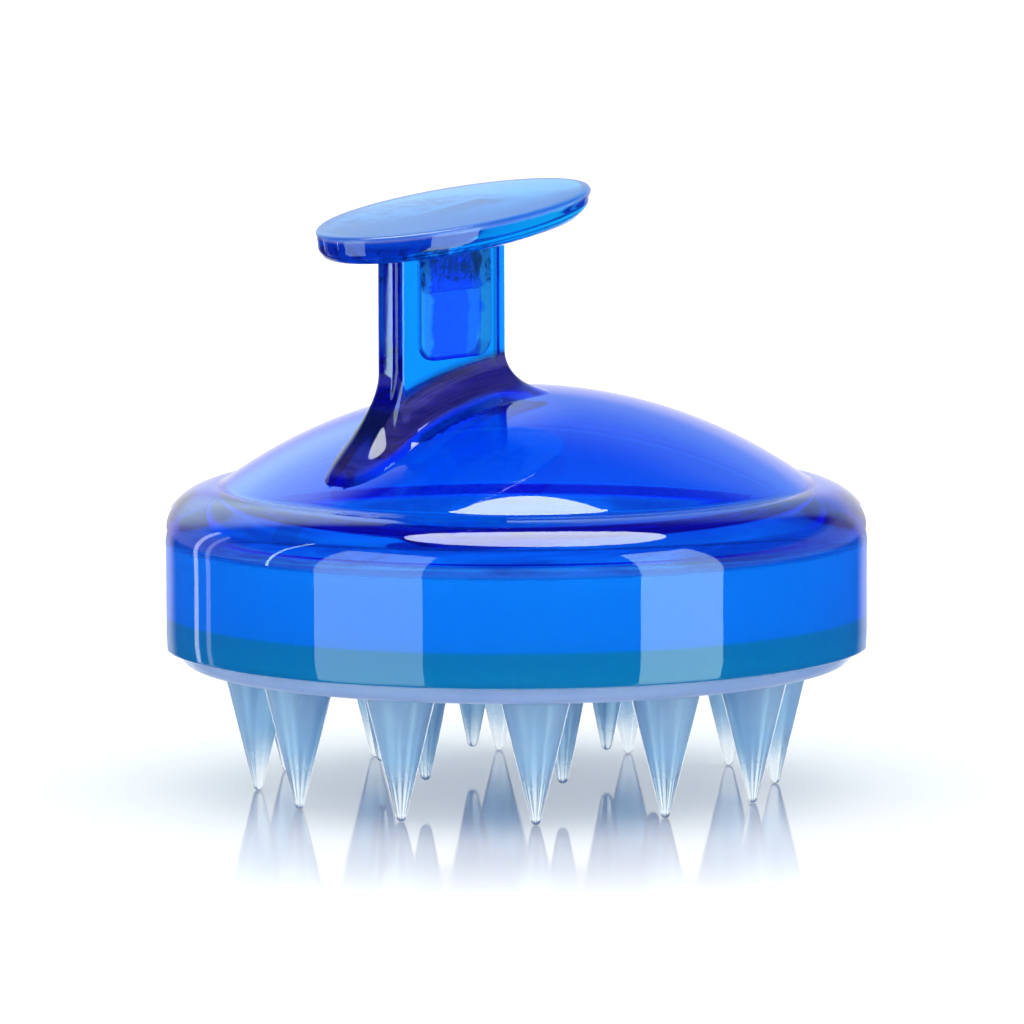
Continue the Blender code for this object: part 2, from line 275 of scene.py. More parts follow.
def neck_mesh():
    outline = rounded_rect(NECK_X0, NECK_X1, NECK_HW, NECK_RC, 26, 5, 9)
    mid = 0.5 * (NECK_X0 + NECK_X1)

    def top(px, py):
        return rest_under(px, py) - SEAT_GAP

    rings = []
    for f in (0.15, 0.35, 0.55, 0.75, 0.92):
        rings.append([(mid + (x - mid) * f, y * f, top(mid + (x - mid) * f, y * f))
                      for x, y, _, _ in outline])
    rings.append([(x, y, top(x, y)) for x, y, _, _ in outline])
    levels = 34
    for i in range(levels + 1):
        a = math.radians(90.0 * i / levels)
        u = 1.0 - math.cos(a)
        ring = []
        for x, y, nx, ny in outline:
            dx, dy, h, k = foot_shape(x, nx, ny)
            px, py = x + u * dx, y + u * dy
            rise = (h - k) * (1.0 - math.sin(a)) + k * (1.0 - u ** 5)
            ring.append((px, py, dome_z(math.hypot(px, py)) + rise))
        rings.append(ring)
    foot = rings[-1]
    for f, sink in ((1.0, 0.7), (0.8, 1.1), (0.5, 1.1), (0.2, 1.1)):
        rings.append([(mid + (x - mid) * f, y * f,
                       dome_z(math.hypot(mid + (x - mid) * f, y * f)) - sink)
                      for x, y, _ in foot])
    return loft("neck", rings)


def slot_mesh(name, x0, x1, hw, rc, z0, z1, radius):
    """Upright slot solid: rounded in plan, with rounded lower corners."""
    outline = rounded_rect(x0, x1, hw, rc, 16, 2, 4)
    mid = 0.5 * (x0 + x1)
    half = 0.5 * (x1 - x0)
    levels = [z1]
    for i in range(1, 7):
        levels.append(z1 + (z0 + radius - z1) * i / 6)
    rings = [[(x, y, z) for x, y, _, _ in outline] for z in levels]
    n = 12
    for i in range(1, n + 1):
        a = math.radians(90.0 * i / n) * 0.985
        inset = radius * (1.0 - math.cos(a))
        z = z0 + radius * (1.0 - math.sin(a))
        f = (half - inset) / half
        g = 1.0 - 0.10 * (i / n) ** 3
        rings.append([(mid + (x - mid) * f, y * g, z) for x, y, _, _ in outline])
    return loft(name, rings)


# ------------------------------------------------------------------ build: housing
housing = add_object("housing_skin", lathe("housing_skin", housing_profile(), 176))
boolean(housing, neck_mesh(), 'UNION')
boolean(housing, slot_mesh("socket", SOCKET_X0, SOCKET_X1, SOCKET_HW, 0.55,
                           SOCKET_Z0, 72.0, 2.4), 'DIFFERENCE')
smooth(housing.data, 28.0)


# -------------------------------------------------------------- build: finger rest
def rest_profile():
    pts = []
    for i in range(21):                         # crowned top
        p = 0.955 * i / 20
        pts.append((p, REST_CROWN * (1.0 - (p / 0.965) ** 2)))
    for p, z in ((0.966, -0.02), (0.977, -0.06), (0.986, -0.14), (0.993, -0.27),
                 (0.998, -0.46), (1.0, -0.75), (1.0, -1.1)):
        pts.append((p, z))
    low = -(REST_EDGE + REST_BELLY * (1.0 - 0.9 ** 2))
    for i in range(13):
        a = math.radians(90.0 * i / 12)
        pts.append((0.9 + 0.1 * math.cos(a), -1.5 + (low + 1.5) * math.sin(a)))
    for i in range(1, 19):
        p = 0.9 * (1.0 - i / 18)
        pts.append((p, -(REST_EDGE + REST_BELLY * (1.0 - p * p))))
    return pts


rest = add_object("finger_rest_skin",
                  lathe("finger_rest_skin",
                        [(p / MM, z) for p, z in rest_profile()], 128))
for v in rest.data.vertices:
    v.co.x *= REST_A * MM
    v.co.y *= REST_B * MM
    part = min(1.0, max(0.0, (-0.5 - v.co.z / MM) / 1.0))
    v.co.z += REST_WEDGE * v.co.x * part
rest.data.transform(Matrix.Translation((REST_X * MM, 0.0, REST_Z * MM))
                    @ Matrix.Rotation(-REST_TILT, 4, 'Y'))
boolean(rest, slot_mesh("tenon", SOCKET_X0 + GAP, SOCKET_X1 - GAP,
                        SOCKET_HW - GAP, 0.35, TENON_Z0, 68.6, 1.2), 'UNION')
smooth(rest.data, 30.0)

# ------------------------------------------------------------ build: backing plate
z_p0 = Z_PAD_TOP + GAP
z_p1 = z_p0 + PLATE_T
plate_pts = [(0.0, z_p1), (R_PAD - 0.45, z_p1), (R_PAD - 0.20, z_p1 - 0.06),
             (R_PAD - 0.06, z_p1 - 0.20), (R_PAD, z_p1 - 0.45), (R_PAD, z_p0 + 0.15),
             (R_PAD - 0.15, z_p0), (0.0, z_p0)]
plate = add_object("backing_plate_skin", lathe("backing_plate_skin", plate_pts, 160))
smooth(plate.data, 40.0)

# -------------------------------------------------------------------- build: pad
pad_pts = [(0.0, Z_PAD_TOP), (R_PAD - 0.6, Z_PAD_TOP), (R_PAD - 0.2, Z_PAD_TOP - 0.12),
           (R_PAD, Z_PAD_TOP - 0.5)]
for i in range(19):
    a = math.radians(90.0 * i / 18)
    pad_pts.append((R_PAD_FACE + (R_PAD - R_PAD_FACE) * math.cos(a) ** 0.8,
                    Z_WALL_BOTTOM + (Z_PAD_FACE - Z_WALL_BOTTOM)
                    * math.sin(a) ** 0.8))
pad_pts.append((R_PAD_FACE - 2.0, Z_PAD_FACE))
pad_pts.append((0.0, Z_PAD_FACE))
pad = add_object("silicone_pad_skin", lathe("silicone_pad_skin", pad_pts, 160))
smooth(pad.data, 50.0)


# ------------------------------------------------------------------ build: teeth
def tooth_profile(root, tip_z, tip_r):
    """Flare out of the pad, straight cone, rounded tip; heights from the floor."""
    pts = [(0.0, Z_PAD_FACE + 0.6), (root + 0.2, Z_PAD_FACE + 0.6),
           (root + 0.62, Z_PAD_FACE + 0.3)]
    z_cone = Z_PAD_FACE - 0.9
    slope = (root - tip_r - 0.02) / (Z_HINGE - tip_z - 1.0)

    def cone(z):
        return tip_r + 0.02 + slope * (z - tip_z - 1.0)

    for i in range(1, 9):                       # fillet into the cone
        t = i / 8
        z = Z_PAD_FACE + 0.3 - (0.3 + 0.9) * t
        r = cone(z) + 0.62 * (1.0 - t) ** 2.2
        pts.append((r, z))
    for i in range(1, 15):
        z = z_cone + (tip_z + 1.0 - z_cone) * i / 14
        pts.append((cone(z), z))
    for i in range(1, 10):                      # rounded tip
        a = math.radians(90.0 * i / 9)
        pts.append((tip_r * math.cos(a) ** 0.75 if i < 9 else 0.0,
                    tip_z + 1.0 - 1.0 * math.sin(a) ** 1.25))
    return pts


TEETH = []
for prefix, spec in (("outer", OUTER), ("inner", INNER)):
    count, ring, a0, root, tip_z, tip_r = spec
    base = tooth_profile(root, tip_z, tip_r)
    for k in range(count):
        angle = math.radians(a0 + 360.0 * k / count)
        name = "%s_tooth_%02d_skin" % (prefix, k + 1)
        mesh = lathe(name, base, 40)
        mesh.transform(Matrix.Translation((ring * math.cos(angle) * MM,
                                           ring * math.sin(angle) * MM, 0.0))
                       @ Matrix.Rotation(angle, 4, 'Z'))
        smooth(mesh, 50.0)
        tooth = add_object(name, mesh)
        where = (ring * math.cos(angle) * MM, ring * math.sin(angle) * MM)
        TEETH.append((tooth, prefix, k + 1, where))


# ------------------------------------------------------------------- materials
BLUE = (0.0, 0.785, 0.993)
BAND_TOP = 29.8           # top of the satin band inside the wall


def new_material(name):
    mat = bpy.data.materials.new(name)
    mat.use_nodes = True
    nt = mat.node_tree
    nt.nodes.clear()
    out = nt.nodes.new("ShaderNodeOutputMaterial")
    bsdf = nt.nodes.new("ShaderNodeBsdfPrincipled")
    nt.links.new(bsdf.outputs["BSDF"], out.inputs["Surface"])
    return mat, nt, bsdf, out


def noise_node(nt, coord, scale, detail=3.0, rough=0.5, distortion=0.0):
    n = nt.nodes.new("ShaderNodeTexNoise")
    n.inputs["Scale"].default_value = scale
    n.inputs["Detail"].default_value = detail
    n.inputs["Roughness"].default_value = rough
    n.inputs["Distortion"].default_value = distortion
    nt.links.new(coord, n.inputs["Vector"])
    return n.outputs["Fac"]


def remap(nt, value, a0, a1, b0, b1, smoothstep=False):
    m = nt.nodes.new("ShaderNodeMapRange")
    if smoothstep:
        m.interpolation_type = 'SMOOTHSTEP'
    m.inputs["From Min"].default_value = a0
    m.inputs["From Max"].default_value = a1
    m.inputs["To Min"].default_value = b0
    m.inputs["To Max"].default_value = b1
    nt.links.new(value, m.inputs["Value"])
    return m.outputs["Result"]


def mix_colour(nt, fac, c0, c1):
    m = nt.nodes.new("ShaderNodeMix")
    m.data_type = 'RGBA'
    nt.links.new(fac, m.inputs[0])
    m.inputs[6].default_value = (*c0, 1.0)
    m.inputs[7].default_value = (*c1, 1.0)
    return m.outputs[2]


def bump(nt, height, strength, distance, normal=None):
    b = nt.nodes.new("ShaderNodeBump")
    b.inputs["Strength"].default_value = strength
    b.inputs["Distance"].default_value = distance
    nt.links.new(height, b.inputs["Height"])
    if normal is not None:
        nt.links.new(normal, b.inputs["Normal"])
    return b.outputs["Normal"]


def absorb(nt, out, colour, density):
    v = nt.nodes.new("ShaderNodeVolumeAbsorption")
    v.inputs["Color"].default_value = (*colour, 1.0)
    v.inputs["Density"].default_value = density
    nt.links.new(v.outputs["Volume"], out.inputs["Volume"])


def calc(nt, op, a, b=0.0):
    m = nt.nodes.new("ShaderNodeMath")
    m.operation = op
    for i, v in enumerate((a, b)):
        if isinstance(v, (int, float)):
            m.inputs[i].default_value = v
        else:
            nt.links.new(v, m.inputs[i])
    return m.outputs["Value"]


def tint_by(nt, fac, colour, tint):
    """Multiply a colour by a tint where the mask fac is 1."""
    m = nt.nodes.new("ShaderNodeMix")
    m.data_type = 'RGBA'
    m.blend_type = 'MULTIPLY'
    nt.links.new(fac, m.inputs[0])
    nt.links.new(colour, m.inputs[6])
    if isinstance(tint, tuple):
        m.inputs[7].default_value = (*tint, 1.0)
    else:
        nt.links.new(tint, m.inputs[7])
    return m.outputs[2]


def all_of(nt, *masks):
    out = masks[0]
    for m in masks[1:]:
        out = calc(nt, 'MULTIPLY', out, m)
    return out


def stretched(nt, coord, scale):
    m = nt.nodes.new("ShaderNodeVectorMath")
    m.operation = 'MULTIPLY'
    nt.links.new(coord, m.inputs[0])
    m.inputs[1].default_value = scale
    return m.outputs["Vector"]


class Plastic:
    """Injection moulded clear plastic: slow waviness from the mould, a faint
    grain, patches of slightly duller skin, and its colour in the depth. Masks
    in the part's own coordinates add to its tint, haze and roughness."""

    def __init__(self, name, tint0, tint1, rough0, rough1, ior, colour, density,
                 wave, grain):
        mat, nt, bsdf, out = new_material(name)
        self.mat, self.nt, self.bsdf = mat, nt, bsdf
        self.coord = nt.nodes.new("ShaderNodeTexCoord").outputs["Object"]
        sep = nt.nodes.new("ShaderNodeSeparateXYZ")
        nt.links.new(self.coord, sep.inputs[0])
        self.x, self.y, self.z = sep.outputs
        patches = noise_node(nt, self.coord, 70.0, 4.0, 0.55, 0.3)
        slow = noise_node(nt, self.coord, 38.0, 1.0, 0.4)
        fine = noise_node(nt, self.coord, 900.0, 3.0, 0.6)
        self.colour = mix_colour(nt, remap(nt, patches, 0.35, 0.65, 0.0, 1.0),
                                 tint0, tint1)
        self.rough = remap(nt, patches, 0.3, 0.7, rough0, rough1)
        self.haze = None
        n = bump(nt, slow, wave, 0.0006)
        n = bump(nt, fine, grain, 0.00002, n)
        nt.links.new(n, bsdf.inputs["Normal"])
        bsdf.inputs["Transmission Weight"].default_value = 1.0
        bsdf.inputs["IOR"].default_value = ior
        absorb(nt, out, colour, density)

    def between(self, value, a0, a1, a2, a3):
        """1 between a1 and a2, easing to 0 at a0 and a3."""
        return calc(self.nt, 'MULTIPLY', remap(self.nt, value, a0, a1, 0.0, 1.0, True),
                    remap(self.nt, value, a2, a3, 1.0, 0.0, True))

    def tint(self, mask, tint):
        self.colour = tint_by(self.nt, mask, self.colour, tint)

    def dull(self, mask, roughness):
        self.rough = calc(self.nt, 'MAXIMUM', self.rough,
                          calc(self.nt, 'MULTIPLY', mask, roughness))

    def cloud(self, mask, amount):
        """Haze: the share of light that the skin scatters and doesn't pass."""
        part = calc(self.nt, 'MULTIPLY', mask, amount)
        self.haze = part if self.haze is None else calc(self.nt, 'MAXIMUM',
                                                        self.haze, part)

    def finish(self):
        self.nt.links.new(self.colour, self.bsdf.inputs["Base Color"])
        self.nt.links.new(self.rough, self.bsdf.inputs["Roughness"])
        if self.haze is not None:
            self.nt.links.new(calc(self.nt, 'SUBTRACT', 1.0, self.haze),
                              self.bsdf.inputs["Transmission Weight"])
        return self.mat


def glue_pattern(p, scale):
    """Smeared glue: dark and bright blotches drawn out along the joint."""
    cells = noise_node(p.nt, stretched(p.nt, p.coord, (1.0, 1.0, 0.8)), scale,
                       5.0, 0.62, 2.2)
    return mix_colour(p.nt, remap(p.nt, cells, 0.44, 0.56, 0.0, 1.0),
                      (0.16, 0.06, 0.18), (0.85, 0.90, 1.0))


def housing_plastic():
    p = Plastic("clear_blue_housing", (0.93, 0.97, 1.0), (0.97, 0.99, 1.0),
                0.006, 0.030, 1.52, BLUE, 1400.0, 0.03, 0.02)
    nt = p.nt
    radius = calc(nt, 'SQRT', calc(nt, 'ADD', calc(nt, 'MULTIPLY', p.x, p.x),
                                   calc(nt, 'MULTIPLY', p.y, p.y)))
    r2 = calc(nt, 'MULTIPLY', radius, radius)
    dome = calc(nt, 'SUBTRACT', DOME_Z0 * MM, calc(
        nt, 'ADD', calc(nt, 'MULTIPLY', r2, DOME_K2 / MM),
        calc(nt, 'MULTIPLY', calc(nt, 'MULTIPLY', r2, r2), DOME_K4 / MM ** 3)))
    over = calc(nt, 'SUBTRACT', p.z, dome)       # height over the dome's skin
    streak = noise_node(nt, stretched(nt, p.coord, (1.0, 1.0, 7.0)), 60.0, 3.0,
                        0.55, 0.6)

    # satin band moulded inside the lower wall; below the pad's top it carries a painted
    # teal, standing for the lit pad rim seen through the wall
    inside = remap(nt, radius, 0.0409, 0.0414, 1.0, 0.0)
    band = all_of(nt, inside, remap(nt, p.z, BAND_TOP * MM, (BAND_TOP + 0.5) * MM,
                                    1.0, 0.0, True))
    foot = all_of(nt, inside, remap(nt, p.z, 0.0212, 0.0218, 1.0, 0.0, True))
    p.cloud(band, 0.84)
    p.dull(band, 0.40)
    # painted light: teal tint standing for the lit pad rim behind the wall
    p.tint(foot, (1.0, 0.98, 0.55))

    # painted shade where the neck flares into the dome: darkened, with streaks through it
    flare_painted_shade = all_of(nt, p.between(over, 0.0004, 0.0013, 0.0040, 0.0052),
                   remap(nt, radius, 0.0325, 0.0330, 1.0, 0.0))
    p.tint(flare_painted_shade, mix_colour(nt, remap(nt, streak, 0.40, 0.60, 0.0, 1.0),
                             (0.20, 0.14, 0.105), (0.44, 0.35, 0.27)))
    p.cloud(flare_painted_shade, 0.10)

    # painted shade round the shoulder, broken by drawn-out lighter streaks; deeper tint in
    # the dome's inner skin
    shoulder_painted_shade = all_of(nt, remap(nt, radius, 0.0350, 0.0365, 0.0, 1.0, True),
                      p.between(p.z, 0.0300, 0.0312, 0.0352, 0.0366))
    p.tint(shoulder_painted_shade, mix_colour(nt, remap(nt, streak, 0.44, 0.60, 0.0, 1.0),
                                (0.30, 0.37, 0.64), (0.92, 0.95, 1.0)))
    crown = all_of(nt, remap(nt, over, -0.0024, -0.0020, 1.0, 0.0),
                   remap(nt, radius, 0.0325, 0.0340, 1.0, 0.0))
    p.tint(crown, (1.0, 0.55, 1.0))

    # socket: painted shade as a deep blue tint in its middle, painted reflections as hazed
    # strips at its sides; glue smeared round its mouth
    across = calc(nt, 'ABSOLUTE', p.y)
    socket = all_of(nt, remap(nt, across, 0.0012, 0.0014, 1.0, 0.0),
                    p.between(p.x, -0.0193, -0.0191, -0.0052, -0.0050),
                    remap(nt, p.z, 0.0515, 0.0517, 0.0, 1.0))
    middle_painted_shade = p.between(calc(nt, 'ADD', p.x, calc(nt, 'MULTIPLY', streak, 0.003)),
                       -0.0158, -0.0150, -0.0068, -0.0060)
    # painted shade in the socket's middle; the haze at its sides paints the reflections
    # there
    p.tint(all_of(nt, socket, middle_painted_shade), (0.12, 0.13, 1.0))
    p.cloud(all_of(nt, socket, calc(nt, 'SUBTRACT', 1.0, middle_painted_shade)), 0.45)

    # painted shade: the neck's end faces, seen along its length, are tinted darker than its
    # sides
    ends_painted_shade = all_of(nt, remap(nt, over, 0.0012, 0.0030, 0.0, 1.0, True),
                  remap(nt, across, 0.00185, 0.00195, 1.0, 0.0),
                  calc(nt, 'MAXIMUM', remap(nt, p.x, -0.0222, -0.0226, 0.0, 1.0),
                       remap(nt, p.x, -0.0044, -0.0040, 0.0, 1.0)))
    p.tint(ends_painted_shade, (0.09, 0.32, 0.32))
    p.tint(all_of(nt, socket, remap(nt, calc(nt, 'ADD', p.z, calc(
        nt, 'MULTIPLY', streak, 0.003)), 0.0622, 0.0632, 0.0, 1.0)),
        glue_pattern(p, 420.0))
    return p.finish()


def rest_plastic():
    p = Plastic("clear_blue_rest", (0.93, 0.97, 1.0), (0.97, 0.99, 1.0),
                0.006, 0.035, 1.52, (0.0, 0.86, 0.985), 300.0, 0.03, 0.02)
    nt = p.nt
    level = calc(nt, 'SUBTRACT', p.z, calc(
        nt, 'ADD', calc(nt, 'MULTIPLY', p.x, math.tan(REST_TILT)),
        (REST_Z - REST_X * math.tan(REST_TILT)) * MM))
    top = remap(nt, level, -0.0009, -0.0003, 0.0, 1.0, True)
    handled = noise_node(nt, p.coord, 120.0, 4.0, 0.6, 0.8)
    p.dull(calc(nt, 'MULTIPLY', top, remap(nt, handled, 0.3, 0.7, 0.75, 1.0)), 0.25)
    p.cloud(top, 0.30)
    p.tint(top, (0.05, 0.31, 0.88))
    # painted shade: the tenon, down in the socket, is tinted a deeper lilac blue
    tenon = remap(nt, p.z, 0.0668, 0.0674, 1.0, 0.0)
    p.tint(tenon, (0.60, 0.62, 1.0))
    p.tint(all_of(nt, tenon, remap(nt, p.z, 0.0622, 0.0632, 0.0, 1.0)),
           glue_pattern(p, 360.0))
    return p.finish()


def plate_plastic():
    p = Plastic("clear_plate", (0.86, 0.94, 1.0), (0.94, 0.98, 1.0),
                0.10, 0.20, 1.50, (0.55, 0.85, 0.98), 30.0, 0.03, 0.02)
    everywhere = remap(p.nt, p.z, 0.0, 0.001, 0.0, 1.0)
    p.cloud(calc(p.nt, 'MULTIPLY', everywhere,
                 noise_node(p.nt, p.coord, 50.0, 3.0, 0.5)), 0.70)
    return p.finish()


def silicone(name, tint0, tint1, rough0, rough1, transmission, colour, density,
             clear):
    """Clear satin silicone: blotchy haze, fine skin texture, and a light blue tint that is
    partly painted light, the blue that comes down through the housing. With clear, a
    tooth's haze and tint thin out between those two heights, to a clear tip."""
    mat, nt, bsdf, out = new_material(name)
    coord = nt.nodes.new("ShaderNodeTexCoord").outputs["Object"]
    haze = noise_node(nt, coord, 150.0, 4.0, 0.6, 0.4)
    fine = noise_node(nt, coord, 1400.0, 3.0, 0.6)
    slow = noise_node(nt, coord, 90.0, 2.0, 0.5)
    tint = mix_colour(nt, remap(nt, haze, 0.3, 0.7, 0.0, 1.0), tint0, tint1)
    if clear:
        sep = nt.nodes.new("ShaderNodeSeparateXYZ")
        nt.links.new(coord, sep.inputs[0])
        height = calc(nt, 'ADD', sep.outputs[2], calc(nt, 'MULTIPLY', calc(
            nt, 'SUBTRACT', noise_node(nt, stretched(nt, coord, (1.0, 1.0, 0.25)),
                                       700.0, 2.0, 0.5), 0.5), 0.003))
        tip = remap(nt, height, clear[0], clear[1], 0.0, 1.0, True)
        m = nt.nodes.new("ShaderNodeMix")
        m.data_type = 'RGBA'
        nt.links.new(tip, m.inputs[0])
        nt.links.new(tint, m.inputs[6])
        m.inputs[7].default_value = (0.95, 0.975, 1.0, 1.0)
        tint = m.outputs[2]
        nt.links.new(remap(nt, tip, 0.0, 1.0, transmission, 0.90),
                     bsdf.inputs["Transmission Weight"])
        rough = calc(nt, 'MULTIPLY', remap(nt, haze, 0.3, 0.7, rough0, rough1),
                     remap(nt, tip, 0.0, 1.0, 1.0, 0.35))
    else:
        bsdf.inputs["Transmission Weight"].default_value = transmission
        rough = remap(nt, haze, 0.3, 0.7, rough0, rough1)
    nt.links.new(tint, bsdf.inputs["Base Color"])
    nt.links.new(rough, bsdf.inputs["Roughness"])
    n = bump(nt, slow, 0.04, 0.0006)
    n = bump(nt, fine, 0.05, 0.00002, n)
    nt.links.new(n, bsdf.inputs["Normal"])
    bsdf.inputs["IOR"].default_value = 1.41
    absorb(nt, out, colour, density)
    return mat


MAT_HOUSING = housing_plastic()
MAT_REST = rest_plastic()
MAT_PLATE = plate_plastic()
# painted light: the silicone's light blue, in tint and absorption, is partly its own colour
# and partly the blue light that comes down through the housing
MAT_PAD = silicone("clear_silicone_pad", (0.35, 0.54, 0.91), (0.41, 0.59, 0.96),
                   0.28, 0.40, 0.40, (0.13, 0.565, 0.86), 12.0, None)
MAT_TOOTH = silicone("clear_silicone_tooth", (0.46, 0.755, 1.0), (0.545, 0.81, 1.0),
                     0.19, 0.26, 0.54, (0.13, 0.565, 0.86), 90.0, (0.0080, 0.0022))


def wear(ob, mat):
    ob.data.materials.clear()
    ob.data.materials.append(mat)


wear(housing, MAT_HOUSING)
wear(rest, MAT_REST)
wear(plate, MAT_PLATE)
wear(pad, MAT_PAD)
for tooth, _, _, _ in TEETH:
    wear(tooth, MAT_TOOTH)

for ob, node, slot in ((housing, "housing_shell", "housing_plastic"),
                       (rest, "finger_rest", "housing_plastic"),
                       (plate, "backing_plate", "plate_plastic"),
                       (pad, "silicone_pad", "silicone")):
    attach(ob, "housing")
    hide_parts(node)
for tooth, prefix, k, (x, y) in TEETH:
    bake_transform(tooth)
    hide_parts("%s_tooth_%02d" % (prefix, k))


# ------------------------------------------------------------------------ floor
def floor_material():
    """White gloss surface; its gloss dies away with distance from the brush."""
    mat, nt, bsdf, out = new_material("pale_floor")
    geo = nt.nodes.new("ShaderNodeNewGeometry").outputs["Position"]
    length = nt.nodes.new("ShaderNodeVectorMath")
    length.operation = 'LENGTH'
    nt.links.new(geo, length.inputs[0])
    near = remap(nt, length.outputs["Value"], 0.052, 0.118, 1.0, 0.0, True)
    grain = noise_node(nt, geo, 35.0, 4.0, 0.55)
    nt.links.new(mix_colour(nt, grain, (0.955, 0.958, 0.965), (0.975, 0.977, 0.98)),
                 bsdf.inputs["Base Color"])
    bsdf.inputs["Roughness"].default_value = 0.5
    bsdf.inputs["Specular IOR Level"].default_value = 0.0
    gloss = nt.nodes.new("ShaderNodeBsdfGlossy")
    gloss.inputs["Color"].default_value = (1.0, 1.0, 1.0, 1.0)
    nt.links.new(remap(nt, grain, 0.3, 0.7, 0.05, 0.075), gloss.inputs["Roughness"])
    fres = nt.nodes.new("ShaderNodeFresnel")
    fres.inputs["IOR"].default_value = 1.45
    mul = nt.nodes.new("ShaderNodeMath")
    mul.operation = 'MULTIPLY'
    nt.links.new(near, mul.inputs[0])
    nt.links.new(fres.outputs["Fac"], mul.inputs[1])
    mix = nt.nodes.new("ShaderNodeMixShader")
    nt.links.new(mul.outputs["Value"], mix.inputs["Fac"])
    nt.links.new(bsdf.outputs["BSDF"], mix.inputs[1])
    nt.links.new(gloss.outputs["BSDF"], mix.inputs[2])
    nt.links.new(mix.outputs["Shader"], out.inputs["Surface"])
    return mat


bm = bmesh.new()
bmesh.ops.create_grid(bm, x_segments=24, y_segments=24, size=4.0)
floor = add_object("floor", finish_mesh(bm, "floor"))
floor.location = (0.0, 0.0, -0.00002)
floor.data.materials.append(floor_material())
floor.visible_glossy = False

# ------------------------------------------------------------------------ world
scene = bpy.context.scene
world = bpy.data.worlds.new("studio")
scene.world = world
world.use_nodes = True
nt = world.node_tree
nt.nodes.clear()
out = nt.nodes.new("ShaderNodeOutputWorld")
path = nt.nodes.new("ShaderNodeLightPath")
direction = nt.nodes.new("ShaderNodeTexCoord").outputs["Generated"]


def dot_with(vec):
    d = nt.nodes.new("ShaderNodeVectorMath")
    d.operation = 'DOT_PRODUCT'
    d.inputs[1].default_value = vec
    nt.links.new(direction, d.inputs[0])
    return d.outputs["Value"]


up = dot_with((0.0, 0.0, 1.0))
back = dot_with(tuple(-TOWARD))
flat = calc(nt, 'SQRT', calc(nt, 'MAXIMUM', calc(
    nt, 'SUBTRACT', 1.0, calc(nt, 'MULTIPLY', up, up)), 0.0001), 0.0)
back_az = calc(nt, 'DIVIDE', back, flat)

# what a glossy surface sees: a white sweep behind, darker room elsewhere
ramp = nt.nodes.new("ShaderNodeValToRGB")
ramp.color_ramp.interpolation = 'EASE'
stops = ramp.color_ramp.elements
stops[0].position, stops[0].color = 0.03, (1.0, 1.0, 1.0, 1.0)
stops[1].position, stops[1].color = 1.0, (0.04, 0.045, 0.06, 1.0)
e = stops.new(0.18)
e.color = (0.88, 0.95, 0.96, 1.0)
e = stops.new(0.34)
e.color = (0.47, 0.71, 0.72, 1.0)
e = stops.new(0.60)
e.color = (0.33, 0.53, 0.50, 1.0)
e = stops.new(0.84)
e.color = (0.06, 0.07, 0.10, 1.0)
nt.links.new(up, ramp.inputs["Fac"])
sweep = remap(nt, back_az, 0.80, 0.90, 0.0, 1.0, True)
room = nt.nodes.new("ShaderNodeMix")
room.data_type = 'RGBA'
nt.links.new(sweep, room.inputs[0])
low = calc(nt, 'MULTIPLY', remap(nt, up, 0.0, 0.06, 0.0, 1.0, True),
           remap(nt, up, 0.30, 0.42, 1.0, 0.0, True))
nt.links.new(mix_colour(nt, low, (0.045, 0.055, 0.12), (0.42, 0.44, 0.50)),
             room.inputs[6])
nt.links.new(ramp.outputs["Color"], room.inputs[7])

# a soft white cloth high up behind, to the left
lift = math.radians(31.0)
aside = math.radians(-157.0)
cloth = ((TOWARD * math.cos(aside) + RIGHT * math.sin(aside)) * math.cos(lift)
         + Vector((0.0, 0.0, math.sin(lift))))
soft = nt.nodes.new("ShaderNodeMix")
soft.data_type = 'RGBA'
nt.links.new(remap(nt, dot_with(tuple(cloth)), 0.90, 0.985, 0.0, 1.0, True),
             soft.inputs[0])
nt.links.new(room.outputs[2], soft.inputs[6])
soft.inputs[7].default_value = (1.40, 1.85, 1.70, 1.0)

# what is seen through the plastic: white round about, with a dark flag on each
# side and behind the camera, which draw the dark lines in the moulding's edges
side = calc(nt, 'ABSOLUTE', calc(nt, 'DIVIDE', dot_with(tuple(RIGHT)), flat), 0.0)
flag = remap(nt, side, 0.90, 0.97, 0.0, 1.0, True)
front = remap(nt, back_az, -0.95, -0.98, 0.0, 1.0, True)
flag = calc(nt, 'MAXIMUM', flag, front)
flag = calc(nt, 'MULTIPLY', flag, remap(nt, up, 0.75, 0.92, 1.0, 0.0, True))
through = nt.nodes.new("ShaderNodeMix")
through.data_type = 'RGBA'
nt.links.new(flag, through.inputs[0])
through.inputs[6].default_value = (1.0, 1.0, 1.0, 1.0)
through.inputs[7].default_value = (0.20, 0.23, 0.34, 1.0)


def background(colour, strength):
    b = nt.nodes.new("ShaderNodeBackground")
    if isinstance(colour, tuple):
        b.inputs["Color"].default_value = colour
    else:
        nt.links.new(colour, b.inputs["Color"])
    b.inputs["Strength"].default_value = strength
    return b.outputs["Background"]


def choose(fac, a, b):
    m = nt.nodes.new("ShaderNodeMixShader")
    nt.links.new(fac, m.inputs["Fac"])
    nt.links.new(a, m.inputs[1])
    nt.links.new(b, m.inputs[2])
    return m.outputs["Shader"]


shade = background(soft.outputs[2], 1.0)
shade = choose(path.outputs["Is Diffuse Ray"], shade,
               background((1.0, 1.0, 1.0, 1.0), 1.56))
shade = choose(path.outputs["Is Transmission Ray"], shade,
               background(through.outputs[2], 1.10))
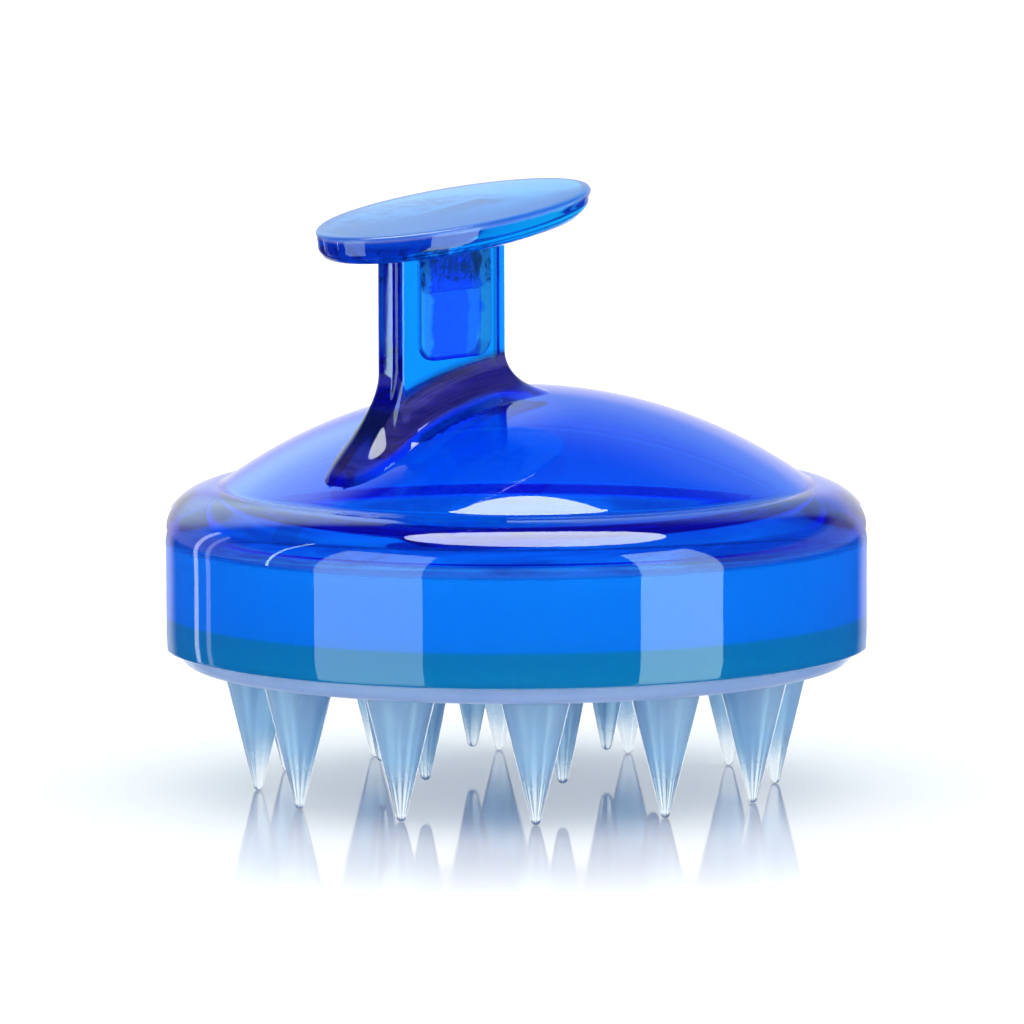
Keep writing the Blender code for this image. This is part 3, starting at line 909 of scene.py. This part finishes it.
# light that satin plastic scatters inside a clear wall
shade = choose(calc(nt, 'MULTIPLY', path.outputs["Is Transmission Ray"],
                    calc(nt, 'GREATER_THAN', path.outputs["Diffuse Depth"], 0.5)),
               shade, background((1.0, 1.0, 1.0, 1.0), 2.25))
shade = choose(path.outputs["Is Camera Ray"], shade,
               background((1.0, 1.0, 1.0, 1.0), 1.0))
nt.links.new(shade, out.inputs["Surface"])


# ----------------------------------------------------------------------- lights
# the boxes show on the brush only, so no box is mirrored in the floor
brush = bpy.data.collections.new("brush")
for ob in [housing, rest, plate, pad] + [entry[0] for entry in TEETH]:
    brush.objects.link(ob)


def softbox(name, shape, centre, target, width, height, radiance,
            colour=(1.0, 1.0, 1.0)):
    """Area light of a given radiance, seen only as a reflection."""
    data = bpy.data.lights.new(name, 'AREA')
    data.color = colour
    data.shape = shape
    data.size, data.size_y = width, height
    area = width * height * (math.pi / 4.0 if shape == 'ELLIPSE' else 1.0)
    data.energy = radiance * math.pi * area
    ob = bpy.data.objects.new(name, data)
    scene.collection.objects.link(ob)
    ob.location = centre
    aim = (Vector(target) - Vector(centre)).normalized()
    ob.rotation_euler = aim.to_track_quat('-Z', 'Y').to_euler()
    ob.visible_camera = False
    ob.visible_diffuse = False
    ob.visible_transmission = False
    ob.light_linking.receiver_collection = brush
    return ob


def around(azimuth, distance, z):
    """A point at an angle to the right of the camera's side."""
    a = math.radians(azimuth)
    v = TOWARD * math.cos(a) + RIGHT * math.sin(a)
    return (v.x * distance, v.y * distance, z)


softbox("box_left", 'RECTANGLE', around(-47.8, 0.70, 0.10), around(-47.8, 0.0, 0.10),
        0.47, 1.16, 3.4, (0.70, 1.0, 0.80))
softbox("box_right", 'RECTANGLE', around(53.4, 0.70, 0.10), around(53.4, 0.0, 0.10),
        0.36, 1.16, 4.8, (0.67, 1.0, 0.75))
softbox("strip_rear", 'RECTANGLE', around(-124.0, 1.0, -0.05), around(-124.0, 0.0, -0.05),
        0.050, 1.1, 2.6)
softbox("strip_rear_faint", 'RECTANGLE', around(-116.0, 1.0, -0.05),
        around(-116.0, 0.0, -0.05), 0.045, 1.1, 1.2)
softbox("card_left", 'RECTANGLE', around(-76.3, 0.1528, 0.095),
        around(-76.3, 0.0, 0.095), 0.0032, 0.126, 9.0, (0.66, 1.0, 0.96))
for name, az in (("edge_left", -161.5), ("edge_right", 161.5)):
    softbox(name, 'RECTANGLE', around(az, 1.0, -0.12), around(az, 0.0, -0.12),
            0.24, 0.30, 1.9)
h = 0.60
c = TOWARD * (0.08 * h) + RIGHT * (0.086 * h) + Vector((0.0, 0.0, h + 0.035))
top = softbox("box_top", 'ELLIPSE', tuple(c), (c.x, c.y, 0.0), 0.93 * h, 0.71 * h, 10.5,
              (0.93, 1.0, 0.96))
top.rotation_euler = (0.0, 0.0, -PHI)

# ----------------------------------------------------------------------- camera
cam_data = bpy.data.cameras.new("camera")
cam_data.sensor_width = 36.0
cam_data.lens = 10417.361 * 36.0 / 1024.0
cam_data.clip_start, cam_data.clip_end = 0.1, 20.0
camera = bpy.data.objects.new("camera", cam_data)
scene.collection.objects.link(camera)
camera.matrix_world = (Matrix.Rotation(-PHI, 4, 'Z')
                       @ Matrix.Translation((-0.0005107, -1.2335617, 0.1809116))
                       @ Matrix.Rotation(math.pi / 2 - 0.1192646, 4, 'X')
                       @ Matrix.Rotation(-0.0032751, 4, 'Z'))
scene.camera = camera

scene.view_settings.view_transform = 'Standard'
scene.view_settings.look = 'None'
scene.cycles.max_bounces = 32
scene.cycles.transmission_bounces = 28
scene.cycles.glossy_bounces = 24
scene.cycles.diffuse_bounces = 4
scene.cycles.volume_bounces = 1
